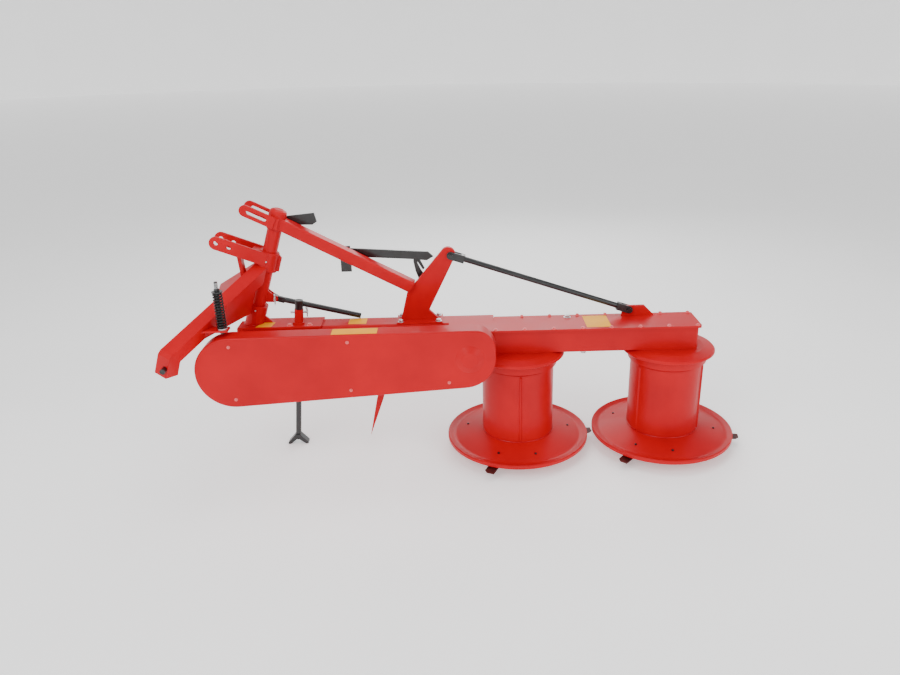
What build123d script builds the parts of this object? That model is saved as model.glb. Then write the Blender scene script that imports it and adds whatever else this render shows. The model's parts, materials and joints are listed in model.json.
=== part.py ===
from build123d import *
import math
import os

# A rear-mounted drum mower with two drums, parked on its saucers and its stand, with the headstock swung
# in line with the cutter bar for the road. Millimetres. X runs along the bar from the headstock to the
# outer drum, Y points from the belt guard's flat face to the frame behind it, Z is up. The pieces are made
# with the inner drum's axis at x = 0, y = 0 on the ground, and all are then moved so that the origin is on
# the ground under the middle of the whole machine.

# Foot of the column along the bar, from which the headstock's end of the machine is set out
COLUMN_FOOT_X = -1149.0

# Drums, discs, knives and saucers
DRUM_RADIUS = 157.0
DRUM_WALL = 4.0
DRUM_BOTTOM = 91.0
DRUM_TOP = 412.0
DRUM_WEB = 8.0
RIDGE_COUNT = 3
RIDGE_WIDTH = 14.0
RIDGE_HEIGHT = 6.0
RIDGE_END_GAP = 10.0
INNER_RIDGE_PHASE = 270.0
OUTER_RIDGE_PHASE = 210.0
DISC_RADIUS = 316.0
DISC_WALL = 5.0
DISC_GAP = 28.0
DISC_DIP_RADIUS = 285.0
DISC_DIP_DROP = 31.0
DISC_RIM_RISE = 9.0
DISC_SKIRT = 16.0
DISC_DIP_CURVE = 30.0
DRUM_PITCH = 2 * DISC_RADIUS + DISC_GAP
HUB_RADIUS = 58.0
HUB_DEPTH = 25.0
SPINDLE_RADIUS = 32.0
RUNNING_FIT = 0.1
KNIFE_COUNT = 3
KNIFE_REACH = 29.0
KNIFE_TIP_RADIUS = DISC_RADIUS + KNIFE_REACH
KNIFE_LENGTH = 105.0
KNIFE_WIDTH = 46.0
KNIFE_THICKNESS = 4.0
KNIFE_HEIGHT = 37.0
KNIFE_PIN_RADIUS = 9.0
KNIFE_PIN_INSET = 22.0
INNER_KNIFE_PHASE = 245.0
OUTER_KNIFE_PHASE = 228.0
SAUCER_RADIUS = 185.0
SAUCER_FLAT_RADIUS = 120.0
SAUCER_RISE = 24.0
SAUCER_WALL = 5.0

# Gear case over the drums, its cover and the fixed lids
CASE_HALF_WIDTH = 73.0
CASE_BOTTOM = 480.0
CASE_TOP = 580.0
CASE_WALL = 8.0
CASE_START_X = -290.0
CASE_END_REACH = 110.0
CASE_END_X = DRUM_PITCH + CASE_END_REACH
CASE_CORNER = 12.0
COVER_HALF_WIDTH = 88.0
COVER_THICKNESS = 10.0
COVER_OVERHANG = 8.0
LID_RADIUS = 201.5
LID_TOP_RADIUS = 150.0
LID_SLOPE = 8.0
LID_RIM = 14.0
LID_NECK_RADIUS = 170.0
DRUM_LID_GAP = 6.0

# Belt guard in front of the case: an outline wrapped round circles of x, z and radius
GUARD_FRONT_Y = -250.0
GUARD_BACK_Y = -172.0
GUARD_WALL = 3.0
GUARD_BACK_PLATE = 6.0
GUARD_EDGE = 7.0
DRIVEN_END = (-238.6, 536.0, 131.0)
GUARD_SHOULDER = (-193.0, 572.0, 84.0)
DRIVING_END = (COLUMN_FOOT_X - 19.0, 499.0, 151.0)
DRIVEN_X = -214.0
DRIVEN_Z = 533.0
BULGE_RADIUS = 59.0
BULGE_FLAT_RADIUS = 32.0
BULGE_HEIGHT = 14.0
HOUSING_RADIUS = 38.0
HOUSING_FLANGE = 12.0
HOUSING_FLANGE_DEPTH = 10.0

# Frame beam behind the guard, with the column, the boom and the tower in its middle plane
FRAME_Y = 90.0
FRAME_WIDTH = 100.0
FRAME_TOP = 582.0
FRAME_HEIGHT = 88.0
FRAME_WALL = 6.0
FRAME_CORNER = 8.0
FRAME_START_X = COLUMN_FOOT_X - 66.0
FRAME_END_X = -100.0
FOOT_PLATE = 8.0
FOOT_PLATE_X = (COLUMN_FOOT_X - 46.0, COLUMN_FOOT_X + 299.0)
FOOT_PLATE_Y = (25.0, 140.0)

# Column: it leans over the cutter bar, and heights on it are measured along its own axis
COLUMN_LEAN = 18.0
COLUMN_RADIUS = 30.0
COLUMN_BORE = 22.0
COLUMN_TOP = 500.0
CAP_RADIUS = 36.0
CAP_HEIGHT = 24.0
THRUST_RING_RADIUS = 40.0
COLLAR_RADIUS = 42.0
COLLAR_BOTTOM = 52.0
COLLAR_TOP = 92.0
BOSS_RADIUS = 42.0
BOSS_BOTTOM = 255.0
BOSS_TOP = 338.0
STOP_LUG_REACH = 12.0
STOP_LUG_THICKNESS = 10.0
SEAT_GAP = 0.3

# Top link ears on the boss, and the slotted ears on the boom head
EAR_THICKNESS = 10.0
EAR_SPACING = 80.0
EAR_LEVEL = 308.0
EAR_TILT = 3.0
EAR_DEPTH = 56.0
EAR_HOLES = (160.0, 214.0)
EAR_HOLE_RADIUS = 9.8
EAR_TIE = 10.0
EAR_TIE_AT = 120.0
EAR_BRACE_WIDTH = 36.0
EAR_BRACE_DEPTH = 16.0
BOOM_HEAD_RADIUS = 37.0
BOOM_HEAD_BOTTOM = 440.0
SLOT_EAR_SPACING = 86.0
SLOT_EAR_LEVEL = 470.0
SLOT_EAR_TILT = 8.5
SLOT_EAR_REACH = 126.0
SLOT_EAR_DEPTH = 48.0
SLOT_START = 34.0
SLOT_END = 120.0
SLOT_WIDTH = 20.0

# Headstock legs: a box section that runs out and down, then turns down along the column
LEG_PLAN = 61.3
LEG_SLOPE = 34.3
LEG_WIDTH = 60.0
LEG_WALL = 5.0
LEG_ROOT = 36.0
LEG_ROOT_LEVEL = 239.0
LEG_REACH = 493.0
LEG_KNEE = 9.0
LEG_END = -128.0
WEB_THICKNESS = 8.0
WEB_INNER = 44.0
WEB_REACH = 385.0
LINK_PIN_RADIUS = 11.0
LINK_PIN_COLLAR_RADIUS = 15.0
LINK_PIN_COLLAR = 13.0
LINK_PIN_INNER = 74.0
LINK_PIN_OUTER = 26.0
LINK_PIN_LEVEL = -92.0

# Coil spring on a bracket of the near leg
SPRING_X = COLUMN_FOOT_X - 46.0
SPRING_Y = -205.0
SPRING_BOTTOM = 676.0
SPRING_TOP = 829.0
SPRING_RADIUS = 20.0
SPRING_WIRE = 6.0
SPRING_COILS = 13
SPRING_ROD_RADIUS = 7.0
SPRING_ROD_BOTTOM = 656.0
SPRING_ROD_TOP = 872.0
SPRING_WASHER = 4.0
SPRING_NUT = 11.0
SPRING_SEAT = 8.0
SHELF_REACH = 140.0
SHELF_HALF_WIDTH = 24.0
SHELF_RIB_DEPTH = 66.0
SHELF_RIB_THICKNESS = 10.0

# Boom and tower
BOOM_LEVEL = 470.0
BOOM_END = (-452.0, 739.0)
BOOM_WIDTH = 60.0
BOOM_DEPTH = 50.0
BOOM_WALL = 5.0
TOWER_Y = 88.0
TOWER_PLATE = 20.0
TOWER_LEFT = ((-507.0, 590.0), (-477.0, 710.0), (-417.0, 782.0))
TOWER_RIGHT = ((-383.0, 632.0), (-341.0, 590.0))
TOWER_HEAD = (-294.0, 881.0)
TOWER_HEAD_RADIUS = 31.0
TOWER_FOOT = (-525.0, -325.0)

# Stay rod from the tower to the lug on the cover
STAY_TOP = (-283.0, 876.0)
STAY_BOTTOM = (493.0, 618.0)
STAY_RADIUS = 12.0
STAY_PIN_RADIUS = 10.0
STAY_PIN_END = 9.0
UPPER_CLEVIS = (62.0, 34.0, 7.0)
LOWER_CLEVIS = (56.0, 32.0, 8.0)
CLEVIS_BRIDGE = 18.0
LUG_Y = 66.0
LUG_THICKNESS = 12.0
LUG_LEFT_X = 460.0
LUG_RIGHT_X = 605.0
LUG_HEIGHT = 46.0

# Lock bar on the back of the boom with its bracket and hook, and the flat bar beside the boom head
LOCK_PIVOT = (-735.0, 886.0)
LOCK_LENGTH = 378.0
LOCK_DROP = 3.8
LOCK_DEPTH = 36.0
LOCK_THICKNESS = 10.0
LOCK_PIN_RADIUS = 8.0
LOCK_BRACKET = (-757.0, -712.0, 802.0, 915.0)
HOOK_X = -440.0
HOOK_FOOT = (-421.0, -398.0, 744.0, 770.0)
HOOK_THICKNESS = 8.0
HEAD_BAR = ((177.0, 1014.0), (177.0, 1051.0), (297.0, 1062.0), (306.0, 1024.0), (287.0, 1012.0))
HEAD_BAR_THICKNESS = 10.0

# Strut between the column and the frame
STRUT_PIVOT = (COLUMN_FOOT_X + 104.0, 88.0, 702.0)
STRUT_END = (COLUMN_FOOT_X + 459.0, 134.0)
STRUT_RADIUS = 12.0
STRUT_EYE_RADIUS = 15.0
STRUT_EYE_WIDTH = 14.0
STRUT_CHEEK = 6.0
STRUT_PIN_RADIUS = 6.0

# Parking stand, which leans with its foot towards the headstock, and the tapered rest bar
STAND_X = COLUMN_FOOT_X + 197.0
STAND_Y = 68.0
STAND_LEAN = 6.0
STAND_RADIUS = 12.5
STAND_SOCKET_RADIUS = 19.0
STAND_SOCKET_TOP = 656.0
STAND_SOCKET_BELOW = 24.0
STAND_FLANGE = 7.0
STAND_KNOB_RADIUS = 17.5
STAND_KNOB_TOP = 696.0
STAND_FOOT_HALF = 46.0
STAND_FOOT_WIDTH = 34.0
REST_BAR_TOP_X = -540.0
REST_BAR_TIP = (-680.0, 12.0)
REST_BAR_WIDTH = 30.0
REST_BAR_THICKNESS = 12.0

# Input shaft in line with the driving pulley, in a housing that runs through the frame beam
INPUT_RADIUS = 17.5
INPUT_STUB = 80.0
INPUT_SPLINE_LENGTH = 70.0
INPUT_SPLINES = 6
INPUT_GROOVE = 8.5
INPUT_HOUSING_END_Y = 150.0

PLATE_TOP = FRAME_TOP + FOOT_PLATE
COVER_TOP = CASE_TOP + COVER_THICKNESS
FRAME_LOW_Y = FRAME_Y - FRAME_WIDTH / 2
FRAME_HIGH_Y = FRAME_Y + FRAME_WIDTH / 2
FRAME_BOTTOM = FRAME_TOP - FRAME_HEIGHT
BOOM_BACK_Y = FRAME_Y + BOOM_WIDTH / 2
FAR = 3000.0
pieces = {}


def box(low, high):
    size = [b - a for a, b in zip(low, high)]
    return Pos(*low) * Box(*size, align=(Align.MIN, Align.MIN, Align.MIN))


def polygon(points):
    return make_face(Polyline(*points, close=True))


def turned(profile):
    """Solid turned about Z from a closed profile of (radius, height)."""
    return revolve(Plane.XZ * polygon(profile), Axis.Z)


def post(radius, bottom, top):
    return Pos(0, 0, bottom) * extrude(Circle(radius), top - bottom)


def ring(outer, inner, bottom, top):
    return Pos(0, 0, bottom) * extrude(Circle(outer) - Circle(inner), top - bottom)


def rod(start, end, radius):
    """Round bar between two points."""
    way = Vector(*end) - Vector(*start)
    return extrude(Plane(origin=Vector(*start), z_dir=way) * Circle(radius), way.length)


def cross_pin(place, radius, low_y, high_y):
    """Round bar along Y through a point given as (x, z)."""
    return rod((place[0], low_y, place[1]), (place[0], high_y, place[1]), radius)


def upright(face, low_y, high_y):
    """Plate between two values of Y from a face drawn in X and Z."""
    return Pos(0, high_y, 0) * extrude(Plane.XZ * face, high_y - low_y, dir=(0, -1, 0))


def plate(points, low_y, high_y):
    return upright(polygon(points), low_y, high_y)


def wrapped(circles, grow=0.0):
    """Face inside a band laid round circles of (x, z, radius), listed anticlockwise."""
    sizes = [(x, z, radius + grow) for x, z, radius in circles]
    normals = []
    for index, (x1, z1, r1) in enumerate(sizes):
        x2, z2, r2 = sizes[(index + 1) % len(sizes)]
        gap = math.hypot(x2 - x1, z2 - z1)
        normals.append(math.atan2(z2 - z1, x2 - x1) - math.acos((r1 - r2) / gap))

    def on(circle, angle):
        x, z, radius = circle
        return (x + radius * math.cos(angle), z + radius * math.sin(angle))

    edges = []
    for index, circle in enumerate(sizes):
        arrive, leave = normals[index - 1], normals[index]
        while leave < arrive:
            leave += 2 * math.pi
        start, middle, end = (on(circle, angle) for angle in (arrive, (arrive + leave) / 2, leave))
        following = sizes[(index + 1) % len(sizes)]
        edges.append(Edge.make_three_point_arc(start, middle, end))
        edges.append(Edge.make_line(end, on(following, normals[index])))
    return Face(Wire(edges))


# Cutting unit
def drum(ridge_phase):
    bore = SPINDLE_RADIUS + RUNNING_FIT
    inside = DRUM_RADIUS - DRUM_WALL
    web = DRUM_TOP - DRUM_WEB
    hub = DRUM_TOP - HUB_DEPTH
    shell = turned([(DRUM_RADIUS, DRUM_BOTTOM), (DRUM_RADIUS, DRUM_TOP - 3), (DRUM_RADIUS - 3, DRUM_TOP),
                    (bore, DRUM_TOP), (bore, hub), (HUB_RADIUS, hub), (HUB_RADIUS, web), (inside, web),
                    (inside, DRUM_BOTTOM)])
    half = RIDGE_WIDTH / 2
    section = polygon([(-DRUM_WALL / 2, -half), (RIDGE_HEIGHT, -half / 4), (RIDGE_HEIGHT, half / 4),
                       (-DRUM_WALL / 2, half)])
    ridge = extrude(section, DRUM_TOP - DRUM_BOTTOM - 2 * RIDGE_END_GAP)
    for index in range(RIDGE_COUNT):
        turn = Rot(0, 0, ridge_phase + index * 360 / RIDGE_COUNT)
        shell += turn * Pos(DRUM_RADIUS, 0, DRUM_BOTTOM + RIDGE_END_GAP) * ridge
    return shell


def disc():
    """Dished disc with a turned-down rim, a flat middle under the drum and a hub."""
    bore = SPINDLE_RADIUS + RUNNING_FIT
    rim = DRUM_BOTTOM - DISC_DIP_DROP + DISC_RIM_RISE
    upper = [(DRUM_RADIUS + 4, DRUM_BOTTOM), (DISC_DIP_RADIUS, DRUM_BOTTOM - DISC_DIP_DROP),
             (DISC_RADIUS - 4, rim)]
    lower = [(radius, height - DISC_WALL) for radius, height in reversed(upper)]
    edge = [(DISC_RADIUS, rim - 3), (DISC_RADIUS, rim - DISC_SKIRT), (DISC_RADIUS - 4, rim - DISC_SKIRT)]
    hub = [(HUB_RADIUS, DRUM_BOTTOM - DISC_WALL), (HUB_RADIUS, DRUM_BOTTOM - HUB_DEPTH),
           (bore, DRUM_BOTTOM - HUB_DEPTH), (bore, DRUM_BOTTOM + HUB_DEPTH),
           (HUB_RADIUS, DRUM_BOTTOM + HUB_DEPTH), (HUB_RADIUS, DRUM_BOTTOM)]
    profile = polygon(upper + edge + lower + hub)
    dips = [corner for corner in profile.vertices() if abs(corner.X - DISC_DIP_RADIUS) < 0.01]
    return revolve(Plane.XZ * fillet(dips, DISC_DIP_CURVE), Axis.Z)


def knives(phase):
    """Knives on their pins under the disc."""
    tip, root = KNIFE_TIP_RADIUS, KNIFE_TIP_RADIUS - KNIFE_LENGTH
    half = KNIFE_WIDTH / 2
    outline = polygon([(root, -half + 8), (root + 8, -half), (tip - 14, -half), (tip, -half + 14), (tip,
                                                                                                    half),
                       (root + 8, half), (root, half - 8)])
    pin_at = root + KNIFE_PIN_INSET
    fall = DISC_DIP_DROP / (DISC_DIP_RADIUS - DRUM_RADIUS - 4)
    under = DRUM_BOTTOM - DISC_WALL - fall * (pin_at + KNIFE_PIN_RADIUS - DRUM_RADIUS - 4)
    knife = Pos(0, 0, KNIFE_HEIGHT) * extrude(outline, KNIFE_THICKNESS)
    pin = post(KNIFE_PIN_RADIUS, KNIFE_HEIGHT, under) + post(KNIFE_PIN_RADIUS + 6, KNIFE_HEIGHT - 5,
                                                             KNIFE_HEIGHT)
    one = knife + Pos(pin_at, 0, 0) * pin
    made = Rot(0, 0, phase) * one
    for index in range(1, KNIFE_COUNT):
        made += Rot(0, 0, phase + index * 360 / KNIFE_COUNT) * one
    return made


def saucer():
    bore = SPINDLE_RADIUS + RUNNING_FIT
    floor = SAUCER_WALL + 2
    top = DRUM_BOTTOM - HUB_DEPTH - SEAT_GAP
    return turned([(0, 0), (SAUCER_FLAT_RADIUS, 0), (SAUCER_RADIUS, SAUCER_RISE),
                   (SAUCER_RADIUS, SAUCER_RISE + SAUCER_WALL), (SAUCER_FLAT_RADIUS, SAUCER_WALL),
                   (HUB_RADIUS, SAUCER_WALL), (HUB_RADIUS, top), (bore, top), (bore, floor), (0, floor)])


def lid():
    neck = DRUM_TOP + DRUM_LID_GAP
    rim_top = CASE_BOTTOM - LID_SLOPE
    rim = rim_top - LID_RIM
    return turned([(SPINDLE_RADIUS, CASE_BOTTOM), (LID_TOP_RADIUS, CASE_BOTTOM), (LID_RADIUS - 6, rim_top),
                   (LID_RADIUS, rim_top - 6), (LID_RADIUS, rim + 3), (LID_RADIUS - 4,
                                                                      rim), (LID_NECK_RADIUS + 2, rim),
                   (LID_NECK_RADIUS, neck), (SPINDLE_RADIUS, neck)])


def spindle():
    return post(SPINDLE_RADIUS, SAUCER_WALL + 2 + SEAT_GAP, CASE_BOTTOM)


# Columns: name, x of the axis, direction of a ridge, direction of a knife
DRUM_TABLE = (("inner", 0.0, INNER_RIDGE_PHASE, INNER_KNIFE_PHASE),
              ("outer", DRUM_PITCH, OUTER_RIDGE_PHASE, OUTER_KNIFE_PHASE))
for name, x, ridge_phase, knife_phase in DRUM_TABLE:
    made = {"drum": drum(ridge_phase), "disc": disc(), "knives": knives(knife_phase), "saucer": saucer(),
            "lid": lid(),
            "spindle": spindle()}
    for kind, shape in made.items():
        pieces[name + "_" + kind] = Pos(x, 0, 0) * shape

# Belt guard: a pan with a turned bulge over the driven pulley's hub, and a flat back plate
GUARD_CIRCLES = (DRIVEN_END, GUARD_SHOULDER, DRIVING_END)
guard_split = GUARD_BACK_Y - GUARD_BACK_PLATE
pan = upright(wrapped(GUARD_CIRCLES), GUARD_FRONT_Y, guard_split)
pan = fillet(pan.faces().sort_by(Axis.Y)[0].edges(), GUARD_EDGE)
hollow = upright(wrapped(GUARD_CIRCLES, -GUARD_WALL), GUARD_FRONT_Y + GUARD_WALL, guard_split)
pan -= fillet(hollow.faces().sort_by(Axis.Y)[0].edges(), GUARD_EDGE - GUARD_WALL)
bulge = turned([(0, -GUARD_WALL), (BULGE_RADIUS, -GUARD_WALL), (BULGE_RADIUS, 0), (BULGE_FLAT_RADIUS,
                                                                                   BULGE_HEIGHT),
                (0, BULGE_HEIGHT)])
pieces["belt_guard"] = pan + Pos(DRIVEN_X, GUARD_FRONT_Y, DRIVEN_Z) * Rot(90, 0, 0) * bulge
pieces["guard_back"] = upright(wrapped(GUARD_CIRCLES), guard_split, GUARD_BACK_Y)


def flanged_housing(bore, length, end_flange):
    """Bearing housing turned about Z, with a wide flange at its start and a given one at its end."""
    wide = HOUSING_RADIUS + HOUSING_FLANGE
    deep = HOUSING_FLANGE_DEPTH
    return turned([(bore, 0), (wide, 0), (wide, deep), (HOUSING_RADIUS, deep + 4), (HOUSING_RADIUS,
                                                                                    length - deep),
                   (HOUSING_RADIUS + end_flange, length - deep), (HOUSING_RADIUS + end_flange,
                                                                  length), (bore, length)])


to_case = Pos(DRIVEN_X, GUARD_BACK_Y, DRIVEN_Z) * Rot(-90, 0, 0)
pieces["driven_housing"] = to_case * flanged_housing(0, -CASE_HALF_WIDTH - GUARD_BACK_Y, HOUSING_FLANGE - 4)

# Gear case and cover, cut away where the frame beam lies against them
frame_room = box((FRAME_START_X, FRAME_LOW_Y, 0), (FRAME_END_X, FAR, FAR))
case = box((CASE_START_X, -CASE_HALF_WIDTH, CASE_BOTTOM), (CASE_END_X, CASE_HALF_WIDTH, CASE_TOP))
case = fillet(case.edges().filter_by(Axis.Z).group_by(Axis.X)[-1], CASE_CORNER)
case -= box((FRAME_END_X + 2 * CASE_WALL, -CASE_HALF_WIDTH + CASE_WALL, CASE_BOTTOM + CASE_WALL),
            (CASE_END_X - CASE_WALL, CASE_HALF_WIDTH - CASE_WALL, CASE_TOP))
pieces["gear_case"] = case - frame_room
cover = box((CASE_START_X - COVER_OVERHANG, -COVER_HALF_WIDTH, CASE_TOP),
            (CASE_END_X + COVER_OVERHANG, COVER_HALF_WIDTH, COVER_TOP))
cover = fillet(cover.edges().filter_by(Axis.Z).group_by(Axis.X)[-1], CASE_CORNER + 2)
pieces["case_cover"] = cover - frame_room

# Parking stand: it slides up through a socket in the frame beam and the foot plate
stand_tilt = math.radians(STAND_LEAN)
stand_way = Vector(math.sin(stand_tilt), 0, math.cos(stand_tilt))
stand_side = Vector(math.cos(stand_tilt), 0, -math.sin(stand_tilt))
stand_foot_x = STAND_X - PLATE_TOP * math.tan(stand_tilt)
stand_frame = Plane(origin=(stand_foot_x, STAND_Y, 0), x_dir=stand_side, z_dir=stand_way)
stand = stand_frame.location


def on_stand(height):
    return height / math.cos(stand_tilt)


socket_low = on_stand(FRAME_BOTTOM - STAND_SOCKET_BELOW)
socket_room = post(STAND_SOCKET_RADIUS, socket_low, on_stand(STAND_SOCKET_TOP))
stand_bore = post(STAND_RADIUS + SEAT_GAP, 0, on_stand(STAND_KNOB_TOP))
flange = post(STAND_SOCKET_RADIUS + STAND_FLANGE, on_stand(FRAME_TOP), on_stand(PLATE_TOP) + STAND_FLANGE)
flange = stand * flange - box((-FAR, -FAR, 0), (FAR, FAR, PLATE_TOP))
pieces["stand_socket"] = stand * socket_room + flange - stand * stand_bore
leg = post(STAND_RADIUS, on_stand(20), on_stand(STAND_SOCKET_TOP) + 1)
leg += post(STAND_KNOB_RADIUS, on_stand(STAND_SOCKET_TOP) + SEAT_GAP, on_stand(STAND_KNOB_TOP))
half = STAND_FOOT_HALF
foot = plate([(-half, 0), (-0.75 * half, 0), (0, 28), (0.75 * half, 0), (half, 0), (half, 8), (STAND_RADIUS,
                                                                                               half),
              (-STAND_RADIUS, half), (-half, 8)], -STAND_FOOT_WIDTH / 2, STAND_FOOT_WIDTH / 2)
pieces["stand_leg"] = stand * leg + Pos(stand_foot_x + 3, STAND_Y, 0) * foot

# Input housing and shaft, in line with the driving pulley
shaft_x, shaft_z, _ = DRIVING_END
from_guard = Pos(shaft_x, GUARD_BACK_Y, shaft_z) * Rot(-90, 0, 0)
housing_length = INPUT_HOUSING_END_Y - GUARD_BACK_Y
pieces["input_housing"] = from_guard * flanged_housing(INPUT_RADIUS + RUNNING_FIT, housing_length,
                                                       HOUSING_FLANGE)
shaft_end = housing_length + INPUT_STUB
shaft = post(INPUT_RADIUS, 4, shaft_end)
groove = Pos(INPUT_RADIUS, 0, shaft_end) * Box(6, INPUT_GROOVE, 2 * INPUT_SPLINE_LENGTH)
for index in range(INPUT_SPLINES):
    shaft -= Rot(0, 0, index * 360 / INPUT_SPLINES) * groove
pieces["input_shaft"] = from_guard * shaft

# Frame beam, with holes for the stand's socket and the input housing
beam = box((FRAME_START_X, FRAME_LOW_Y, FRAME_BOTTOM), (FRAME_END_X, FRAME_HIGH_Y, FRAME_TOP))
beam = fillet(beam.edges().filter_by(Axis.X), FRAME_CORNER)
beam -= box((FRAME_START_X + FRAME_WALL, FRAME_LOW_Y + FRAME_WALL, FRAME_BOTTOM + FRAME_WALL),
            (FRAME_END_X - FRAME_WALL, FRAME_HIGH_Y - FRAME_WALL, FRAME_TOP - FRAME_WALL))
pieces["frame_beam"] = beam - stand * socket_room - from_guard * post(HOUSING_RADIUS, 0, housing_length)

# Column, cap and foot
column_tilt = math.radians(COLUMN_LEAN)
column_way = Vector(math.sin(column_tilt), 0, math.cos(column_tilt))
column_out = Vector(-math.cos(column_tilt), 0, math.sin(column_tilt))
head_frame = Plane(origin=(COLUMN_FOOT_X, FRAME_Y, PLATE_TOP), x_dir=column_out, z_dir=column_way)
head = head_frame.location
below_plate = box((-FAR, -FAR, -FAR), (FAR, FAR, PLATE_TOP))
deep = -2 * COLUMN_RADIUS
cap_top = COLUMN_TOP + CAP_HEIGHT
pieces["column"] = head * ring(COLUMN_RADIUS, COLUMN_BORE, deep, COLUMN_TOP) - below_plate
pieces["column_cap"] = head * turned([(0, COLUMN_TOP), (CAP_RADIUS, COLUMN_TOP), (CAP_RADIUS, cap_top - 12),
                                      (CAP_RADIUS - 5, cap_top - 5), (CAP_RADIUS - 16, cap_top), (0,
                                                                                                  cap_top)])
thrust = head * ring(THRUST_RING_RADIUS, COLUMN_RADIUS, deep, COLLAR_BOTTOM - SEAT_GAP) - below_plate
foot_plate = box((FOOT_PLATE_X[0], FOOT_PLATE_Y[0], FRAME_TOP), (FOOT_PLATE_X[1], FOOT_PLATE_Y[1],
                                                                 PLATE_TOP))
foot_plate -= stand * socket_room
fin = plate([(COLUMN_FOOT_X + 20, PLATE_TOP), (COLUMN_FOOT_X + 84, PLATE_TOP), (COLUMN_FOOT_X + 48,
                                                                                PLATE_TOP + 34),
             (COLUMN_FOOT_X + 20, PLATE_TOP + 34)], FRAME_Y - 5, FRAME_Y + 5)
pieces["column_foot"] = foot_plate + thrust + (fin - head * post(COLUMN_RADIUS, deep, COLUMN_TOP))


# Boom head with the slotted ears
def ears(reach, depth, spacing, level, angle, cuts):
    """Two round-ended ears that stand out from the column, each side of its middle plane."""
    outline = Pos(reach / 2, 0) * Rectangle(reach, depth) + Pos(reach, 0) * Circle(depth / 2) - cuts
    ear = Rot(0, -angle, 0) * extrude(Plane.XZ * outline, EAR_THICKNESS)
    shift = (spacing + EAR_THICKNESS) / 2
    return Pos(0, shift, level) * ear + Pos(0, shift - spacing, level) * ear


slot = Pos((SLOT_START + SLOT_END) / 2, 0) * SlotOverall(SLOT_END - SLOT_START, SLOT_WIDTH)
slotted = ears(SLOT_EAR_REACH, SLOT_EAR_DEPTH, SLOT_EAR_SPACING, SLOT_EAR_LEVEL, SLOT_EAR_TILT, slot)
cheek = Pos(0, 0, SLOT_EAR_LEVEL) * Box(COLUMN_RADIUS, SLOT_EAR_SPACING, SLOT_EAR_DEPTH)
boom_head = post(BOOM_HEAD_RADIUS, BOOM_HEAD_BOTTOM, COLUMN_TOP) + cheek + slotted
pieces["boom_head"] = head * (boom_head - post(COLUMN_RADIUS, 0, COLUMN_TOP))


# Tower, and the boom between the boom head and the tower
def tower_face():
    """Outline of the tower plate: straight sides that run into a round head."""
    x, z = TOWER_HEAD

    def touch(point, side):
        away = math.atan2(point[1] - z, point[0] - x)
        turn = math.acos(TOWER_HEAD_RADIUS / math.hypot(point[0] - x, point[1] - z))
        return (x + TOWER_HEAD_RADIUS * math.cos(away + side * turn),
                z + TOWER_HEAD_RADIUS * math.sin(away + side * turn))

    start, end = touch(TOWER_RIGHT[0], 1), touch(TOWER_LEFT[-1], -1)
    edges = [Edge.make_three_point_arc(start, (x, z + TOWER_HEAD_RADIUS), end)]
    around = [end, *reversed(TOWER_LEFT), *reversed(TOWER_RIGHT), start]
    edges += [Edge.make_line(a, b) for a, b in zip(around, around[1:])]
    return Face(Wire(edges))


tower_low, tower_high = TOWER_Y - TOWER_PLATE / 2, TOWER_Y + TOWER_PLATE / 2
tower = upright(tower_face(), tower_low, tower_high) - cross_pin(STAY_TOP, STAY_PIN_RADIUS, 0, 2 * TOWER_Y)
tower += box((TOWER_FOOT[0], FRAME_LOW_Y, FRAME_TOP), (TOWER_FOOT[1], FRAME_HIGH_Y, PLATE_TOP))
pieces["tower"] = tower
boom_start = Vector(COLUMN_FOOT_X, FRAME_Y, PLATE_TOP) + column_way * BOOM_LEVEL
boom_way = Vector(BOOM_END[0], FRAME_Y, BOOM_END[1]) - boom_start
boom_frame = Plane(origin=boom_start, x_dir=(0, 1, 0), z_dir=boom_way)
section = RectangleRounded(BOOM_WIDTH, BOOM_DEPTH, 7)
section -= RectangleRounded(BOOM_WIDTH - 2 * BOOM_WALL, BOOM_DEPTH - 2 * BOOM_WALL, 3)
boom = extrude(boom_frame * section, boom_way.length)
boom -= head * post(BOOM_HEAD_RADIUS, BOOM_HEAD_BOTTOM - BOOM_DEPTH, COLUMN_TOP + BOOM_DEPTH)
boom -= upright(tower_face(), 0, FAR)
pieces["boom"] = boom.solids().sort_by(SortBy.VOLUME)[-1]


# Stay rod with a clevis at each end, pinned to the tower and to the lug on the cover
def clevis(straddled, size):
    """Rod end round a plate: its pin is at the origin along Y and the rod leaves along X."""
    length, depth, arm = size
    gap = straddled / 2 + SEAT_GAP
    half = gap + arm
    body = box((0, -half, -depth / 2), (length, half, depth / 2)) + rod((0, -half, 0), (0, half, 0),
                                                                        depth / 2)
    body -= box((-depth, -gap, -depth), (length - CLEVIS_BRIDGE, gap, depth))
    return body + rod((0, -half - STAY_PIN_END, 0), (0, half + STAY_PIN_END, 0),
                      STAY_PIN_RADIUS - RUNNING_FIT)


stay_start = Vector(STAY_TOP[0], TOWER_Y, STAY_TOP[1])
stay_end = Vector(STAY_BOTTOM[0], LUG_Y, STAY_BOTTOM[1])
stay_way = (stay_end - stay_start).normalized()
stay_drop = math.degrees(math.atan2(STAY_TOP[1] - STAY_BOTTOM[1], STAY_BOTTOM[0] - STAY_TOP[0]))
upper_clevis = Pos(*stay_start) * Rot(0, stay_drop, 0) * clevis(TOWER_PLATE, UPPER_CLEVIS)
lower_clevis = Pos(*stay_end) * Rot(0, stay_drop + 180, 0) * clevis(LUG_THICKNESS, LOWER_CLEVIS)
pieces["stay_clevises"] = upper_clevis + lower_clevis
stay = rod(stay_start + stay_way * (UPPER_CLEVIS[0] - CLEVIS_BRIDGE / 2),
           stay_end - stay_way * (LOWER_CLEVIS[0] - CLEVIS_BRIDGE / 2), STAY_RADIUS)
pieces["stay_rod"] = stay - upper_clevis - lower_clevis
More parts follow.
